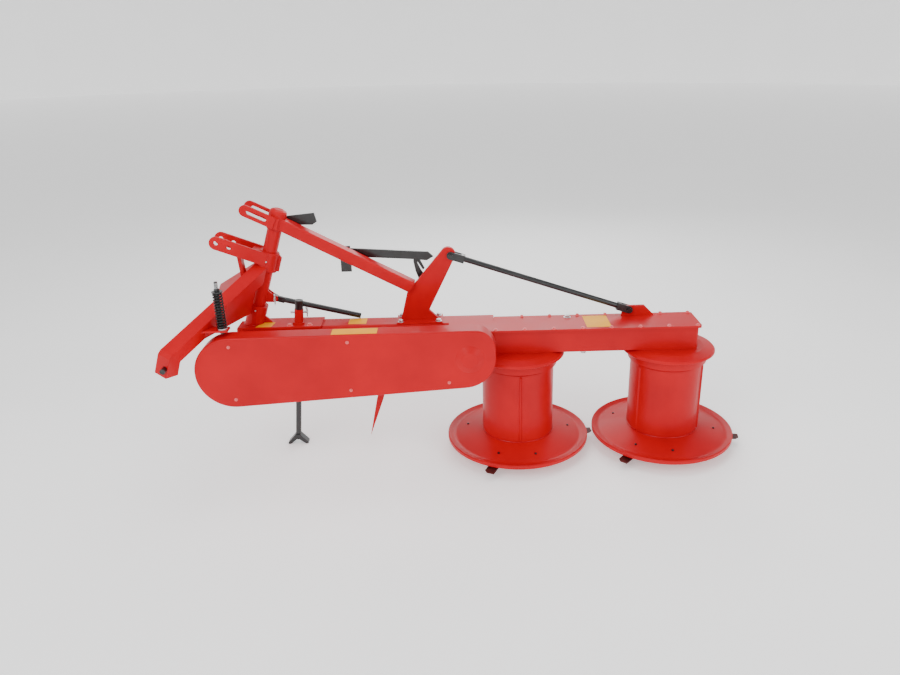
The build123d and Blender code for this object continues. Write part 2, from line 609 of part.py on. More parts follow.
lug_points = [(LUG_LEFT_X, COVER_TOP), (LUG_LEFT_X + 8, COVER_TOP + LUG_HEIGHT), (LUG_RIGHT_X - 45,
                                                                                  COVER_TOP + LUG_HEIGHT),
              (LUG_RIGHT_X, COVER_TOP)]
lug = plate(lug_points, LUG_Y - LUG_THICKNESS / 2, LUG_Y + LUG_THICKNESS / 2)
pieces["stay_lug"] = lug - cross_pin(STAY_BOTTOM, STAY_PIN_RADIUS, 0, 2 * LUG_Y)

# Headstock bearings
bearing = COLUMN_RADIUS + RUNNING_FIT
boss = turned([(bearing, BOSS_BOTTOM), (BOSS_RADIUS, BOSS_BOTTOM), (BOSS_RADIUS, BOSS_TOP - 4),
               (BOSS_RADIUS - 4, BOSS_TOP),
               (bearing, BOSS_TOP)])
lug_edge = BOSS_RADIUS + STOP_LUG_REACH
stop_lug = plate([(-BOSS_RADIUS + 3, BOSS_BOTTOM + 4), (-lug_edge, BOSS_BOTTOM + 4), (-lug_edge,
                                                                                      BOSS_TOP - 16),
                  (-BOSS_RADIUS + 3, BOSS_TOP - 4)], -STOP_LUG_THICKNESS / 2, STOP_LUG_THICKNESS / 2)
pieces["pivot_boss"] = head * (boss + stop_lug)
pieces["pivot_collar"] = head * ring(COLLAR_RADIUS, bearing, COLLAR_BOTTOM, COLLAR_TOP)
pivot_room = post(BOSS_RADIUS, BOSS_BOTTOM, BOSS_TOP) + post(COLLAR_RADIUS, COLLAR_BOTTOM, COLLAR_TOP)

# Top link ears, tied together at the boss and further out, and the brace under them
holes = Pos(EAR_HOLES[0], 0) * Circle(EAR_HOLE_RADIUS) + Pos(EAR_HOLES[1], 0) * Circle(EAR_HOLE_RADIUS)
link_ears = ears(EAR_HOLES[1], EAR_DEPTH, EAR_SPACING, EAR_LEVEL, EAR_TILT, holes)
inner_gap = EAR_SPACING - EAR_THICKNESS
bridge = Pos(COLLAR_RADIUS + EAR_TIE, 0, EAR_LEVEL) * Box(4 * EAR_TIE, inner_gap, EAR_DEPTH - EAR_TIE)
tie_level = EAR_LEVEL - EAR_DEPTH / 2 + EAR_TIE_AT * math.sin(math.radians(EAR_TILT)) + EAR_TIE / 2
tie = Pos(EAR_TIE_AT, 0, tie_level) * Box(3 * EAR_TIE, inner_gap, EAR_TIE)
pieces["link_ears"] = head * (link_ears + bridge + tie - post(BOSS_RADIUS, BOSS_BOTTOM, BOSS_TOP + EAR_TIE))
low, high = COLLAR_BOTTOM + EAR_BRACE_DEPTH, tie_level - EAR_TIE / 2
brace_lean = math.atan2(EAR_TIE_AT - COLUMN_RADIUS, high - low)
across = EAR_BRACE_DEPTH / 2 / math.cos(brace_lean)
brace = plate([(COLUMN_RADIUS - across, low), (COLUMN_RADIUS + across, low), (EAR_TIE_AT + across, high),
               (EAR_TIE_AT - across, high)], -EAR_BRACE_WIDTH / 2, EAR_BRACE_WIDTH / 2)
brace -= post(COLLAR_RADIUS, 0, EAR_LEVEL)
pieces["ear_brace"] = head * brace.solids().sort_by(SortBy.VOLUME)[-1]

# Legs with their webs and lower link pins
slope = math.tan(math.radians(LEG_SLOPE))
leg_drop = LEG_WIDTH / math.cos(math.radians(LEG_SLOPE))


def leg_top(reach):
    """Height of a leg's upper face at a distance from the column's axis."""
    return LEG_ROOT_LEVEL + leg_drop / 2 - slope * (reach - LEG_ROOT)


def leg_side(wall):
    """Side outline of a leg, drawn in from its faces by a wall thickness and open at the bottom end."""
    edge = wall / math.cos(math.radians(LEG_SLOPE))
    outer, inner = LEG_REACH - wall, LEG_REACH - LEG_WIDTH + wall
    root, end = LEG_ROOT + wall, LEG_END - wall
    return [(root, leg_top(root) - edge), (outer - LEG_KNEE, leg_top(outer - LEG_KNEE) - edge),
            (outer, leg_top(outer) - edge - LEG_KNEE), (outer, end), (inner, end),
            (inner, leg_top(inner) - leg_drop + edge), (root, leg_top(root) - leg_drop + edge)]


side_half = LEG_WIDTH / 2
leg_full = plate(leg_side(0), -side_half, side_half)
leg_pipe = leg_full - plate(leg_side(LEG_WALL), LEG_WALL - side_half, side_half - LEG_WALL)
web_points = [(WEB_INNER, leg_top(WEB_INNER) - leg_drop), (WEB_INNER, COLLAR_TOP), (COLUMN_RADIUS + 4,
                                                                                    COLLAR_TOP),
              (COLUMN_RADIUS + 4, COLLAR_BOTTOM + 4), (WEB_REACH, leg_top(WEB_REACH) - leg_drop)]
web = plate(web_points, -WEB_THICKNESS / 2, WEB_THICKNESS / 2)
pin_at = LEG_REACH - side_half
pin_x = pin_at * math.cos(math.radians(LEG_PLAN))
pin_half = side_half / math.sin(math.radians(LEG_PLAN))
made = {}
for name, side in (("near", 1), ("far", -1)):
    turn = Rot(0, 0, side * LEG_PLAN)
    pin_y = side * pin_at * math.sin(math.radians(LEG_PLAN))
    pin = rod((pin_x, pin_y + side * (pin_half + LINK_PIN_OUTER), LINK_PIN_LEVEL),
              (pin_x, pin_y - side * (pin_half + LINK_PIN_INNER), LINK_PIN_LEVEL), LINK_PIN_RADIUS)
    pin += rod((pin_x, pin_y, LINK_PIN_LEVEL), (pin_x, pin_y - side * (pin_half + LINK_PIN_COLLAR),
                                                LINK_PIN_LEVEL),
               LINK_PIN_COLLAR_RADIUS)
    pieces[name + "_leg"] = head * (turn * leg_pipe - pivot_room - pin)
    made[name] = (head * (turn * web - pivot_room), head * pin)
pieces["leg_webs"] = made["near"][0] + made["far"][0]
pieces["link_pins"] = made["near"][1] + made["far"][1]

# Spring, its rod and its bracket on the near leg
spring_place = Pos(SPRING_X, SPRING_Y, 0)
inside = SPRING_RADIUS - SPRING_WIRE
profile = [(inside, SPRING_BOTTOM)]
pitch = (SPRING_TOP - SPRING_BOTTOM) / SPRING_COILS
for index in range(SPRING_COILS):
    low = SPRING_BOTTOM + index * pitch
    profile += [(SPRING_RADIUS - SPRING_WIRE / 2, low), (SPRING_RADIUS, low + pitch / 4),
                (SPRING_RADIUS, low + pitch * 0.6)]
profile += [(SPRING_RADIUS - SPRING_WIRE / 2, SPRING_TOP), (inside, SPRING_TOP)]
pieces["spring"] = spring_place * turned(profile)
spring_rod = post(SPRING_ROD_RADIUS, SPRING_ROD_BOTTOM, SPRING_ROD_TOP)
spring_rod += post(SPRING_RADIUS + 1, SPRING_TOP, SPRING_TOP + SPRING_WASHER)
spring_rod += Pos(0, 0, SPRING_TOP + SPRING_WASHER) * extrude(RegularPolygon(SPRING_NUT, 6), SPRING_NUT)
spring_rod += Pos(0, 0, SPRING_BOTTOM - SPRING_SEAT - SPRING_NUT) * extrude(RegularPolygon(SPRING_NUT, 6),
                                                                            SPRING_NUT)
pieces["spring_rod"] = spring_place * spring_rod
near_leg = head * (Rot(0, 0, LEG_PLAN) * leg_full)
seat_low = SPRING_BOTTOM - SPRING_SEAT
shelf = box((SPRING_X - SHELF_REACH, SPRING_Y - SHELF_HALF_WIDTH, seat_low),
            (SPRING_X + SHELF_HALF_WIDTH, SPRING_Y + SHELF_HALF_WIDTH, SPRING_BOTTOM))
shelf += plate([(SPRING_X - SHELF_REACH, seat_low), (SPRING_X - SPRING_RADIUS - 2, seat_low),
                (SPRING_X - SHELF_REACH,
                 SPRING_BOTTOM - SHELF_RIB_DEPTH)], SPRING_Y - SHELF_RIB_THICKNESS / 2,
               SPRING_Y + SHELF_RIB_THICKNESS / 2)
shelf -= post(SPRING_ROD_RADIUS, 0, SPRING_TOP).moved(spring_place)
pieces["spring_bracket"] = (shelf - near_leg).solids().sort_by(Axis.X)[-1]

# Lock bar with its bracket on the boom and its hook on the tower
bracket_y = BOOM_BACK_Y + LOCK_THICKNESS
x1, x2, z1, z2 = LOCK_BRACKET
bracket = box((x1, BOOM_BACK_Y, z1), (x2, bracket_y - SEAT_GAP, z2))
bar_back_y = bracket_y + LOCK_THICKNESS
pieces["lock_bracket"] = bracket + cross_pin(LOCK_PIVOT, LOCK_PIN_RADIUS, BOOM_BACK_Y, bar_back_y + 6)
half = LOCK_DEPTH / 2
lock_bar = plate([(-half, -half), (-half, half), (LOCK_LENGTH - 24, half), (LOCK_LENGTH, -2),
                  (LOCK_LENGTH - 28, -half - 3),
                  (LOCK_LENGTH - 76, -half)], bracket_y, bar_back_y)
lock_bar = Pos(LOCK_PIVOT[0], 0, LOCK_PIVOT[1]) * Rot(0, LOCK_DROP, 0) * lock_bar
pieces["lock_bar"] = lock_bar - cross_pin(LOCK_PIVOT, LOCK_PIN_RADIUS + RUNNING_FIT, 0, FAR)


def lock_height(x):
    """Height of the lock bar's lower edge at a given x."""
    fall = math.radians(LOCK_DROP)
    return LOCK_PIVOT[1] - (x - LOCK_PIVOT[0]) * math.tan(fall) - half / math.cos(fall)


hook_low = bar_back_y + SEAT_GAP
hook_high = hook_low + HOOK_THICKNESS
seat = lock_height(HOOK_X + 12) - 2 * SEAT_GAP
x1, x2, z1, z2 = HOOK_FOOT
hook = plate([(x1, z1), (x2, z1), (x2, z2), (HOOK_X + 24, z2 + 30), (HOOK_X + 12, seat - 20), (HOOK_X + 12,
                                                                                               seat + 34),
              (HOOK_X - 4, seat + 34), (HOOK_X - 6, seat - 12), (HOOK_X + 2, z2 + 22)], hook_low, hook_high)
hook += plate([(HOOK_X + 12, seat - 12), (HOOK_X + 34, z2 + 28), (HOOK_X + 42, z2 + 34), (HOOK_X + 22,
                                                                                          seat - 1),
               (HOOK_X + 12, seat - 1)], hook_low, hook_high)
hook += box((HOOK_X - 4, bracket_y - SEAT_GAP, seat - 9), (HOOK_X + 12, hook_low, seat))
hook += box((x1, tower_high, z1), (x2, hook_low, z2))
pieces["lock_hook"] = hook
pieces["head_bar"] = plate([(COLUMN_FOOT_X + x, z) for x, z in HEAD_BAR], BOOM_BACK_Y,
                           BOOM_BACK_Y + HEAD_BAR_THICKNESS)

# Strut with its fork on the column
fork_x, fork_y, fork_z = STRUT_PIVOT
fork_low = fork_y - STRUT_EYE_WIDTH / 2 - SEAT_GAP
fork_high = fork_y + STRUT_EYE_WIDTH / 2 + SEAT_GAP
cheek_points = [(fork_x - 48, fork_z - 14), (fork_x + 2, fork_z - 15), (fork_x + 13, fork_z - 6),
                (fork_x + 13, fork_z + 8),
                (fork_x - 4, fork_z + 18), (fork_x - 30, fork_z + 42), (fork_x - 48, fork_z + 42)]
fork = plate(cheek_points, fork_low - STRUT_CHEEK, fork_low) + plate(cheek_points, fork_high,
                                                                     fork_high + STRUT_CHEEK)
fork -= head * post(COLUMN_RADIUS, 0, COLUMN_TOP)
fork += cross_pin((fork_x, fork_z), STRUT_PIN_RADIUS, fork_low - 2 * STRUT_CHEEK,
                  fork_high + 2 * STRUT_CHEEK)
pieces["strut_fork"] = fork
strut = cross_pin((fork_x, fork_z), STRUT_EYE_RADIUS, fork_low + SEAT_GAP, fork_high - SEAT_GAP)
strut_run = math.hypot(STRUT_END[0] - fork_x, STRUT_END[1] - fork_y)
strut_fall = fork_z - FRAME_TOP - STRUT_RADIUS
strut_end_z = FRAME_TOP + SEAT_GAP + STRUT_RADIUS * strut_run / math.hypot(strut_run, strut_fall)
strut_end = Vector(STRUT_END[0], STRUT_END[1], strut_end_z)
strut_way = (strut_end - Vector(*STRUT_PIVOT)).normalized()
neck = Vector(*STRUT_PIVOT) + strut_way * (STRUT_EYE_RADIUS + 22)
neck_turn = math.degrees(math.atan2(fork_z - neck.Z, neck.X - fork_x))
shank = box((0, -STRUT_EYE_WIDTH / 2, -STRUT_RADIUS), (STRUT_EYE_RADIUS + 26, STRUT_EYE_WIDTH / 2,
                                                       STRUT_RADIUS))
strut += Pos(*STRUT_PIVOT) * Rot(0, neck_turn, 0) * shank
strut += rod(neck - strut_way * 8, strut_end, STRUT_RADIUS)
pieces["strut"] = strut - cross_pin((fork_x, fork_z), STRUT_PIN_RADIUS + RUNNING_FIT, 0, FAR)

# Tapered rest bar under the frame beam
tip_x, tip_z = REST_BAR_TIP
half = REST_BAR_WIDTH / 2
middle = (2 * REST_BAR_TOP_X + 3 * tip_x) / 5
middle_z = (2 * FRAME_BOTTOM + 3 * tip_z) / 5
pieces["rest_bar"] = plate([(REST_BAR_TOP_X - half, FRAME_BOTTOM), (REST_BAR_TOP_X + half, FRAME_BOTTOM),
                            (middle + half, middle_z), (tip_x, tip_z), (middle - half, middle_z)],
                           FRAME_Y - REST_BAR_THICKNESS / 2, FRAME_Y + REST_BAR_THICKNESS / 2)

# Move the origin under the middle of the machine and write one file for each piece
boxes = [shape.bounding_box() for shape in pieces.values()]
low_x, high_x = min(b.min.X for b in boxes), max(b.max.X for b in boxes)
low_y, high_y = min(b.min.Y for b in boxes), max(b.max.Y for b in boxes)
OFFSET = (-(low_x + high_x) / 2, -(low_y + high_y) / 2, 0)
os.makedirs("parts", exist_ok=True)
for name, shape in pieces.items():
    export_step(Pos(*OFFSET) * shape, "parts/" + name + ".step")
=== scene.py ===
import json
import math

import bmesh
import bpy
from mathutils import Matrix, Vector


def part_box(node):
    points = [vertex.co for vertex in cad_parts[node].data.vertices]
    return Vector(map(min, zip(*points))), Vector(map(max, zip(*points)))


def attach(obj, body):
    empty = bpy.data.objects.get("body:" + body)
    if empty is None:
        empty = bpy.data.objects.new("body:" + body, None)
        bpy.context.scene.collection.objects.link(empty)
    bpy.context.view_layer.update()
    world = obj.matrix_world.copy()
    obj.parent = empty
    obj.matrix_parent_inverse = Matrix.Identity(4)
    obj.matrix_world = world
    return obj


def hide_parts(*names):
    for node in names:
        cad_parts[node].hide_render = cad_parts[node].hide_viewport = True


# A two-drum mower in red enamel. Places are in millimetres from the inner drum's axis on the ground, as in
# the model's own drawing: X along the bar towards the outer drum, Y from the belt guard to the frame, Z up.
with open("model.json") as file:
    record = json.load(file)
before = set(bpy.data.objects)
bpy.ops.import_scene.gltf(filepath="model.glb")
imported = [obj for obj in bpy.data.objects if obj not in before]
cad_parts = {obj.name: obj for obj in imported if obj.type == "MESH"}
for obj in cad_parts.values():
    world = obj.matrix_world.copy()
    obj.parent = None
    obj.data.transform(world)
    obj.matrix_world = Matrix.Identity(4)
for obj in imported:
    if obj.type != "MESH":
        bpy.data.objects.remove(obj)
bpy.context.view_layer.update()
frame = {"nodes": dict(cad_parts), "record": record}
spindle_low, spindle_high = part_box("inner_spindle")
ORIGIN = Vector(((spindle_low.x + spindle_high.x) / 2, (spindle_low.y + spindle_high.y) / 2, 0))
UP, DOWN, NEAR, BACK, ALONG = (0, 0, 1), (0, 0, -1), (0, -1, 0), (0, 1, 0), (1, 0, 0)


def at(x, y, z):
    return ORIGIN + Vector((x, y, z)) / 1000


# Camera at the photograph's place
CAMERA_PLACE = (-251.88, -3044.50, 1758.77)
PITCH, ROLL, YAW = -21.96, 0.82, -1.79
FOCAL_PIXELS, CENTRE_U, CENTRE_V, WIDTH, HEIGHT, SENSOR = 757.0, 481.9, 336.8, 900, 675, 36.0
turn = Matrix.Rotation(math.radians(YAW), 3, "Z") @ Matrix.Rotation(math.radians(PITCH), 3, "X")
turn = turn @ Matrix.Rotation(math.radians(ROLL), 3, "Y")
right, forward, up = (turn @ Vector(axis) for axis in (ALONG, BACK, UP))
lens = bpy.data.cameras.new("camera")
lens.sensor_width = SENSOR
lens.lens = FOCAL_PIXELS * SENSOR / WIDTH
lens.shift_x = (WIDTH / 2 - CENTRE_U) / WIDTH
lens.shift_y = (CENTRE_V - HEIGHT / 2) / WIDTH
lens.dof.use_dof = False
camera = bpy.data.objects.new("camera", lens)
bpy.context.scene.collection.objects.link(camera)
facing = Matrix((right, up, -forward)).transposed().to_4x4()
camera.matrix_world = Matrix.Translation(at(*CAMERA_PLACE)) @ facing
bpy.context.scene.camera = camera


# Materials
def linear(code):
    """Linear colour from an sRGB hex value."""
    parts = [int(code[i:i + 2], 16) / 255 for i in (0, 2, 4)]
    return [p / 12.92 if p <= 0.04045 else ((p + 0.055) / 1.055) ** 2.4 for p in parts] + [1.0]


def add(tree, kind, settings=None, links=None):
    """Adds a node with its settings and links."""
    node = tree.nodes.new(kind)
    for name, value in (settings or {}).items():
        if hasattr(node, name):
            setattr(node, name, value)
        else:
            node.inputs[name].default_value = value
    for name, socket in (links or {}).items():
        tree.links.new(socket, node.inputs[name])
    return node


def surface(name, light, dark, patch_mm, grain_mm, grain_depth_mm, rough, metallic=0.0, coat=0.0,
            coat_rough=0.05, stretch=(1, 1, 1), specular=0.5, glow=0.0):
    """Colour and roughness drift between two values in patches, and a finer grain gives relief."""
    material = bpy.data.materials.new(name)
    material.use_nodes = True
    tree = material.node_tree
    tree.nodes.clear()
    place = add(tree, "ShaderNodeTexCoord").outputs["Object"]
    laid = add(tree, "ShaderNodeMapping", {"Scale": stretch}, {"Vector": place}).outputs["Vector"]
    patch = add(tree, "ShaderNodeTexNoise", {"Scale": 1000 / patch_mm, "Detail": 4.0, "Roughness": 0.55},
                {"Vector": place})
    grain = add(tree, "ShaderNodeTexNoise", {"Scale": 1000 / grain_mm, "Detail": 3.0}, {"Vector": laid})
    span = add(tree, "ShaderNodeMapRange", {"From Min": 0.3, "From Max": 0.7},
               {"Value": patch.outputs["Fac"]})
    tone = add(tree, "ShaderNodeMix", {"data_type": "RGBA"})
    tone.inputs[6].default_value = linear(dark)
    tone.inputs[7].default_value = linear(light)
    tree.links.new(span.outputs["Result"], tone.inputs[0])
    gloss = add(tree, "ShaderNodeMapRange",
                {"From Min": 0.3, "From Max": 0.7, "To Min": rough[0], "To Max": rough[1]},
                {"Value": patch.outputs["Fac"]})
    relief = add(tree, "ShaderNodeBump", {"Strength": 1.0, "Distance": grain_depth_mm / 1000},
                 {"Height": grain.outputs["Fac"]})
    shader = add(tree, "ShaderNodeBsdfPrincipled",
                 {"Metallic": metallic, "Coat Weight": coat, "Coat Roughness": coat_rough,
                  "Specular IOR Level": specular, "Emission Color": linear(light), "Emission Strength": glow},
                 {"Base Color": tone.outputs[2], "Roughness": gloss.outputs["Result"],
                  "Normal": relief.outputs["Normal"]})
    add(tree, "ShaderNodeOutputMaterial", None, {"Surface": shader.outputs["BSDF"]})
    return material


# Enamel sprayed on welded steel: a soft gloss with a faint orange peel, about 5 mm from crest to crest
RED_ENAMEL = surface("gloss_red_enamel", "C20114", "AE0111", 240, 5, 0.05, (0.32, 0.44),
                     coat=0.06, coat_rough=0.08, specular=0.14)
# The same enamel in black on rods and bars: it shows long soft highlights
BLACK_ENAMEL = surface("black_enamel", "141415", "0A0A0B", 90, 4, 0.05, (0.28, 0.42),
                       coat=0.35, coat_rough=0.12)
# Oil-dark hardened spring wire: a dull sheen
SPRING_WIRE = surface("oil_dark_spring_steel", "1C1B1B", "0C0C0D", 30, 2.5, 0.04, (0.34, 0.5), metallic=0.4)
# Rolled knife steel dipped in red-brown primer: matt, with darker patches where it is thin
KNIFE_STEEL = surface("primed_knife_steel", "5A1614", "38100F", 26, 1.8, 0.06, (0.45, 0.65), metallic=0.2)
# Pressed saucer steel in black primer, rubbed by the ground in arcs a few millimetres wide
SAUCER_STEEL = surface("rubbed_black_primer", "2B2A29", "121212", 60, 6, 0.12, (0.42, 0.66),
                       metallic=0.3, stretch=(1, 1, 4))
# Turned steel shafts left bright: fine rings round the shaft, drawn at 1.5 mm so that they show
TURNED_STEEL = surface("turned_bright_steel", "A9AAAC", "8B8C8E", 45, 1.5, 0.02, (0.22, 0.36), metallic=1.0)
# Bolts in bright zinc plate: a pale, slightly cloudy metal
ZINC_PLATE = surface("bright_zinc_plate", "D9DADB", "B4B6B8", 9, 1.2, 0.015, (0.24, 0.4), metallic=1.0)
# Bolts painted over with the machine in the same red enamel, coloured a lighter pink as a painted highlight on
# their faces
BOLT_ENAMEL_PAINTED_HIGHLIGHT = surface("bolt_enamel_painted_highlight", "E8686A", "D84A4C", 12, 2, 0.03, (0.3, 0.42),
                       coat=0.1, coat_rough=0.1)
# Blank vinyl film in safety yellow
YELLOW_VINYL = surface("yellow_vinyl_film", "F8B000", "F0A200", 70, 3, 0.01, (0.45, 0.55), specular=0.2)
# Weld beads under the red enamel, rippled about 6 mm from crest to crest
WELD_ENAMEL = surface("enamel_on_weld", "BC0216", "A00212", 18, 6, 0.6, (0.3, 0.42),
                      coat=0.1, coat_rough=0.08, specular=0.14)
# Matt white of the floor and wall, with a little light of its own
FLOOR_PAINT = surface("pale_floor", "FCFCFC", "F8F8F8", 900, 20, 0.02, (0.85, 0.95), specular=0.1, glow=0.4)

FINISHES = {"red_paint": RED_ENAMEL, "black_paint": BLACK_ENAMEL, "bright_steel": TURNED_STEEL,
            "spring_paint": SPRING_WIRE, "saucer_steel": SAUCER_STEEL, "knife_steel": KNIFE_STEEL}
for part in frame["record"]["subparts"]:
    node = frame["nodes"][part["node"]]
    finish = FINISHES[part["material_slot"]]
    if node.material_slots:
        for holder in node.material_slots:
            holder.material = finish
    else:
        node.data.materials.append(finish)


# Ways to shape and place a piece
def piece(name, bm, material, body, smooth=True):
    bmesh.ops.remove_doubles(bm, verts=bm.verts, dist=1e-6)
    bmesh.ops.recalc_face_normals(bm, faces=bm.faces)
    mesh = bpy.data.meshes.new(name)
    bm.to_mesh(mesh)
    bm.free()
    mesh.materials.append(material)
    for face in mesh.polygons:
        face.use_smooth = smooth
    if smooth:
        mesh.set_sharp_from_angle(angle=math.radians(35))
    made = bpy.data.objects.new(name, mesh)
    bpy.context.scene.collection.objects.link(made)
    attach(made, body)
    return made


def stood(place, axis):
    """Placement that stands a shape made along Z on a point, along an axis."""
    return Matrix.Translation(place) @ Vector(axis).to_track_quat("Z", "Y").to_matrix().to_4x4()


def disc_of(bm, placed, radius, low, high, segments=28, edge=0.0):
    """Round or hexagon bar between two heights on a placement, its outer rim bevelled. Millimetres."""
    tall = (high - low) / 1000
    matrix = placed @ Matrix.Translation((0, 0, (low + high) / 2000))
    made = bmesh.ops.create_cone(bm, cap_ends=True, cap_tris=False, segments=segments, radius1=radius / 1000,
                                 radius2=radius / 1000, depth=tall, matrix=matrix)["verts"]
    if edge:
        top = matrix @ Vector((0, 0, tall / 2))
        way = (matrix.to_3x3() @ Vector(UP)).normalized()
        rim = {e for v in made for e in v.link_edges
               if all(abs((w.co - top).dot(way)) < 1e-5 for w in e.verts)}
        bmesh.ops.bevel(bm, geom=list(rim), affect="EDGES", offset=edge / 1000, segments=2, profile=0.5,
                        material=-1)


def bolt(bm, place, axis, across):
    """Hexagon head on a washer with the bolt's end standing a little proud of it."""
    placed = stood(place, axis)
    tall = across * 0.42
    disc_of(bm, placed, across * 0.72, -0.6, 1.6, 24, 0.4)
    disc_of(bm, placed, across * 0.56, 1.6, 1.6 + tall, 6, across * 0.07)
    disc_of(bm, placed, across * 0.2, 1.6, 2.6 + tall, 16, 0.6)


def bolts(name, rows, across, material, body):
    bm = bmesh.new()
    for place, axis in rows:
        bolt(bm, place, axis, across)
    piece(name, bm, material, body)


def ring(bm, placed, radius, wire, steps=56, segments=10):
    """Torus round the placement's Z axis. Millimetres."""
    start = placed @ Matrix.Translation((radius / 1000, 0, 0)) @ Matrix.Rotation(math.pi / 2, 4, "X")
    loop = bmesh.ops.create_circle(bm, segments=segments, radius=wire / 1000, matrix=start)["verts"]
    edges = list({e for v in loop for e in v.link_edges})
    bmesh.ops.spin(bm, geom=loop + edges, cent=placed.translation, axis=placed.to_3x3() @ Vector(UP),
                   angle=2 * math.pi, steps=steps, use_merge=True)


LABEL_THICK, LABEL_ROUND = 0.8, 3.0


def label(name, corners):
    """Blank vinyl label raised from its corners, listed anticlockwise seen from outside."""
    bm = bmesh.new()
    base = bm.faces.new([bm.verts.new(at(*corner)) for corner in corners])
    base.normal_update()
    out = base.normal.copy()
    raised = bmesh.ops.extrude_face_region(bm, geom=[base])["geom"]
    top = [v for v in raised if isinstance(v, bmesh.types.BMVert)]
    bmesh.ops.translate(bm, verts=top, vec=out * LABEL_THICK / 1000)
    posts = [e for e in bm.edges if abs((e.verts[0].co - e.verts[1].co).normalized().dot(out)) > 0.99]
    bmesh.ops.bevel(bm, geom=posts, affect="EDGES", offset=LABEL_ROUND / 1000, segments=4, profile=0.5,
                    material=-1)
    piece(name, bm, YELLOW_VINYL, "frame", smooth=False)


# Places shared by the bolts, labels, welds and pins, as (x, z) or (x, y, z)
DRUM_PITCH, PLATE_TOP, BEAM_TOP, BEAM_BACK_Y = 660, 590, 582, 140
GUARD_BACK_Y, GUARD_FRONT_Y, GUARD_LEFT_TOP, GUARD_RIGHT_TOP = -172, -250, 652.6, 653.7
DRIVEN_SHAFT, DRIVING_SHAFT = (-214, 533), (-1168, 499)
COLUMN_FOOT, COLUMN_LEAN = (-1149, 90, PLATE_TOP), math.radians(18)
STAND_PIN, STRUT_PIN = (-912, 68, 642), (-1045, 71, 702)

# Cover bolts, filler and drain plugs
COVER_TOP, CASE_BOTTOM, COVER_ROW_Y = 590, 480, 79
COVER_FIRST_X, COVER_LAST_X, COVER_BOLTS = -100, 760, 8
cover_rows = []
for index in range(COVER_BOLTS):
    x = COVER_FIRST_X + index * (COVER_LAST_X - COVER_FIRST_X) / (COVER_BOLTS - 1)
    for y in ((-COVER_ROW_Y, COVER_ROW_Y) if index else (-COVER_ROW_Y,)):
        cover_rows.append((at(x, y, COVER_TOP), UP))
COVER_BOLT, PLUG = 13, 22
FILLER_PLACE, DRAIN_PLACE = (221, 60, COVER_TOP), (277, -57, CASE_BOTTOM)
bolts("cover_bolts", cover_rows, COVER_BOLT, BOLT_ENAMEL_PAINTED_HIGHLIGHT, "frame")
bolts("oil_plugs", [(at(*FILLER_PLACE), UP), (at(*DRAIN_PLACE), DOWN)], PLUG, ZINC_PLATE, "frame")

# Bolts of the foot plate, the tower's foot and the case's joint with the beam
PLATE_BOLT, TOWER_BOLT, JOINT_BOLT = 17, 19, 17
PLATE_BOLTS = [(x, 38, PLATE_TOP) for x in (-986, -900)]
TOWER_BOLTS = [(x, y, PLATE_TOP) for x in (-507, -343) for y in (53, 127)]
JOINT_BOLTS = [(x, BEAM_BACK_Y, z) for x in (-270, -210, -150) for z in (512, 564)]
bolts("plate_bolts", [(at(*place), UP) for place in PLATE_BOLTS], PLATE_BOLT, BOLT_ENAMEL_PAINTED_HIGHLIGHT, "frame")
bolts("tower_bolts", [(at(*place), UP) for place in TOWER_BOLTS], TOWER_BOLT, ZINC_PLATE, "frame")
bolts("joint_bolts", [(at(*place), BACK) for place in JOINT_BOLTS], JOINT_BOLT, ZINC_PLATE, "frame")

# Flange bolts of the two shaft housings, and the guard's screws
HOUSING_END_Y, FLANGE_BOLT, FLANGE_BOLTS, GUARD_SCREW = 150, 9, 6, 10
flange_rows = []
# Columns: shaft, y of the flange's face, radius of the bolt circle
for (x, z), y, radius in ((DRIVEN_SHAFT, GUARD_BACK_Y + 10, 44), (DRIVING_SHAFT, GUARD_BACK_Y + 10, 45),
                          (DRIVING_SHAFT, HOUSING_END_Y, 44)):
    for index in range(FLANGE_BOLTS):
        angle = math.radians(30 + 60 * index)
        flange_rows.append((at(x + radius * math.cos(angle), y, z + radius * math.sin(angle)), BACK))
bolts("flange_bolts", flange_rows, FLANGE_BOLT, ZINC_PLATE, "frame")
GUARD_SCREWS = ((-1168, 384), (-1168, 614), (-700, 412), (-700, 622), (-300, 434))
bolts("guard_screws", [(at(x, GUARD_FRONT_Y, z), NEAR) for x, z in GUARD_SCREWS], GUARD_SCREW, BOLT_ENAMEL_PAINTED_HIGHLIGHT,
      "frame")

# Labels on the cover, foot plate, beam and guard's top
label("cover_label", [(288, -70, COVER_TOP), (393, -70, COVER_TOP), (393, 66, COVER_TOP), (288, 66, COVER_TOP)])
label("plate_label", [(-1132, 28, PLATE_TOP), (-1064, 28, PLATE_TOP), (-1056, 83, PLATE_TOP),
                      (-1110, 83, PLATE_TOP)])
label("beam_label", [(-738, 60, BEAM_TOP), (-660, 60, BEAM_TOP), (-660, 128, BEAM_TOP), (-738, 128, BEAM_TOP)])
label("guard_label", [(-764, -240, GUARD_LEFT_TOP), (-582, -240, GUARD_RIGHT_TOP),
                      (-582, -182, GUARD_RIGHT_TOP), (-764, -182, GUARD_LEFT_TOP)])

# Bolts on the discs: a pair over each knife
DISC_PAIR, DISC_BOLT, DISC_BOLT_RADIUS, DISC_BOLT_Z, DISC_SLOPE = (0, 40), 8, 232, 73.2, 0.25
for side, x, phase in (("inner", 0, 245), ("outer", DRUM_PITCH, 228)):
    rows = []
    for index in range(3):
        for step in DISC_PAIR:
            angle = math.radians(phase + 120 * index + step)
            out_x, out_y = math.cos(angle), math.sin(angle)
            rows.append((at(x + DISC_BOLT_RADIUS * out_x, DISC_BOLT_RADIUS * out_y, DISC_BOLT_Z),
                         (DISC_SLOPE * out_x, DISC_SLOPE * out_y, 1)))
    bolts(side + "_disc_bolts", rows, DISC_BOLT, BLACK_ENAMEL, side + "_cutter")
